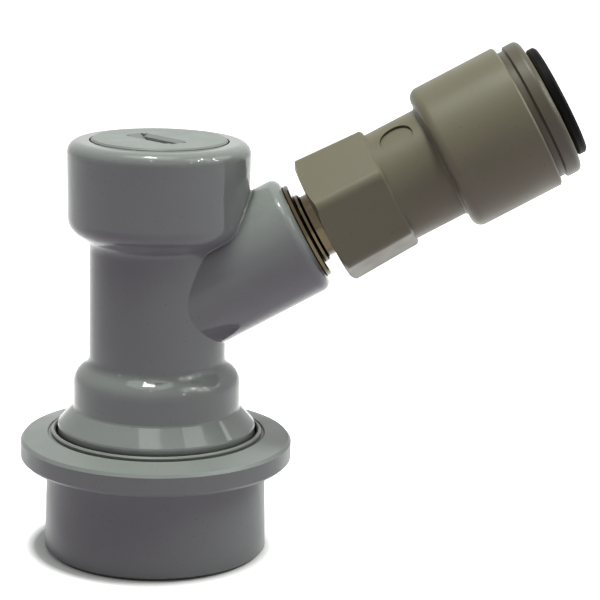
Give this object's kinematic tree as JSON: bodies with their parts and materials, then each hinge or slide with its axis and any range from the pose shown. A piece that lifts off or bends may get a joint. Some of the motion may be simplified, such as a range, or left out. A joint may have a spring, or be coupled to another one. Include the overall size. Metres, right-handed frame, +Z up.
{
  "type": "ball lock disconnect",
  "caption": "Grey plastic ball lock keg disconnect with spring-loaded lock collar, valve plunger, angled arm with steel flare stud and push-fit tube adapter.",
  "frame": {"origin": "centre of the lock collar's bottom edge, on the socket axis, where the part stands", "axes": "+Z up along the socket axis towards the top cap; the outlet arm leans up from +Z towards +X, 29 degrees above the XY plane"},
  "size_m": [0.0776, 0.038, 0.0726],
  "materials": {
    "body_plastic": "gloss",
    "collar_plastic": "satin",
    "adapter_acetal": "satin",
    "collet_acetal": "satin",
    "plunger_acetal": "satin",
    "stud_steel": "polished",
    "ball_steel": "polished",
    "spring_steel": "satin",
    "seal_rubber": "satin",
    "washer_nylon": "satin"
  },
  "bodies": {
    "housing": {"body": "body_plastic", "top_cap": "body_plastic", "cap_seal": "seal_rubber", "plunger_spring": "spring_steel", "lock_spring": "spring_steel", "retaining_ring": "spring_steel", "outlet_stud": "stud_steel", "stud_seal": "seal_rubber", "flare_washer": "washer_nylon", "adapter_body": "adapter_acetal", "adapter_o_ring": "seal_rubber", "spacer_washer": "adapter_acetal", "adapter_end_cap": "adapter_acetal"},
    "collar": {"lock_collar": "collar_plastic"},
    "plunger": {"plunger": "plunger_acetal", "plunger_seal": "seal_rubber"},
    "collet": {"collet": "collet_acetal", "grip_teeth": "spring_steel"},
    "ball_1": {"ball_1": "ball_steel"},
    "ball_2": {"ball_2": "ball_steel"},
    "ball_3": {"ball_3": "ball_steel"}
  },
  "joints": [
    {"name": "collar_lift", "type": "slide", "parent": "housing", "child": "collar", "axis": [0, 0, 1], "range_m": [0, 0.0036], "stiffness_N_per_m": 1500, "springref_m": -0.006, "deforming": ["lock_spring"]},
    {"name": "plunger_lift", "type": "slide", "parent": "housing", "child": "plunger", "axis": [0, 0, 1], "range_m": [0, 0.003], "stiffness_N_per_m": 400, "springref_m": -0.006, "deforming": ["plunger_spring"]},
    {"name": "collet_slide", "type": "slide", "parent": "housing", "child": "collet", "axis": [0.8746, 0, 0.4848], "range_m": [-0.0003, 0.001]},
    {"name": "ball_1_slide", "type": "slide", "parent": "housing", "child": "ball_1", "axis": [0, 1, 0], "range_m": [0, 0.00085]},
    {"name": "ball_2_slide", "type": "slide", "parent": "housing", "child": "ball_2", "axis": [-0.866, -0.5, 0], "range_m": [0, 0.00085]},
    {"name": "ball_3_slide", "type": "slide", "parent": "housing", "child": "ball_3", "axis": [0.866, -0.5, 0], "range_m": [0, 0.00085]}
  ],
  "couplings": [
    {"joint": "ball_1_slide", "follows": "collar_lift", "ratio": 0.2361},
    {"joint": "ball_2_slide", "follows": "collar_lift", "ratio": 0.2361},
    {"joint": "ball_3_slide", "follows": "collar_lift", "ratio": 0.2361}
  ]
}
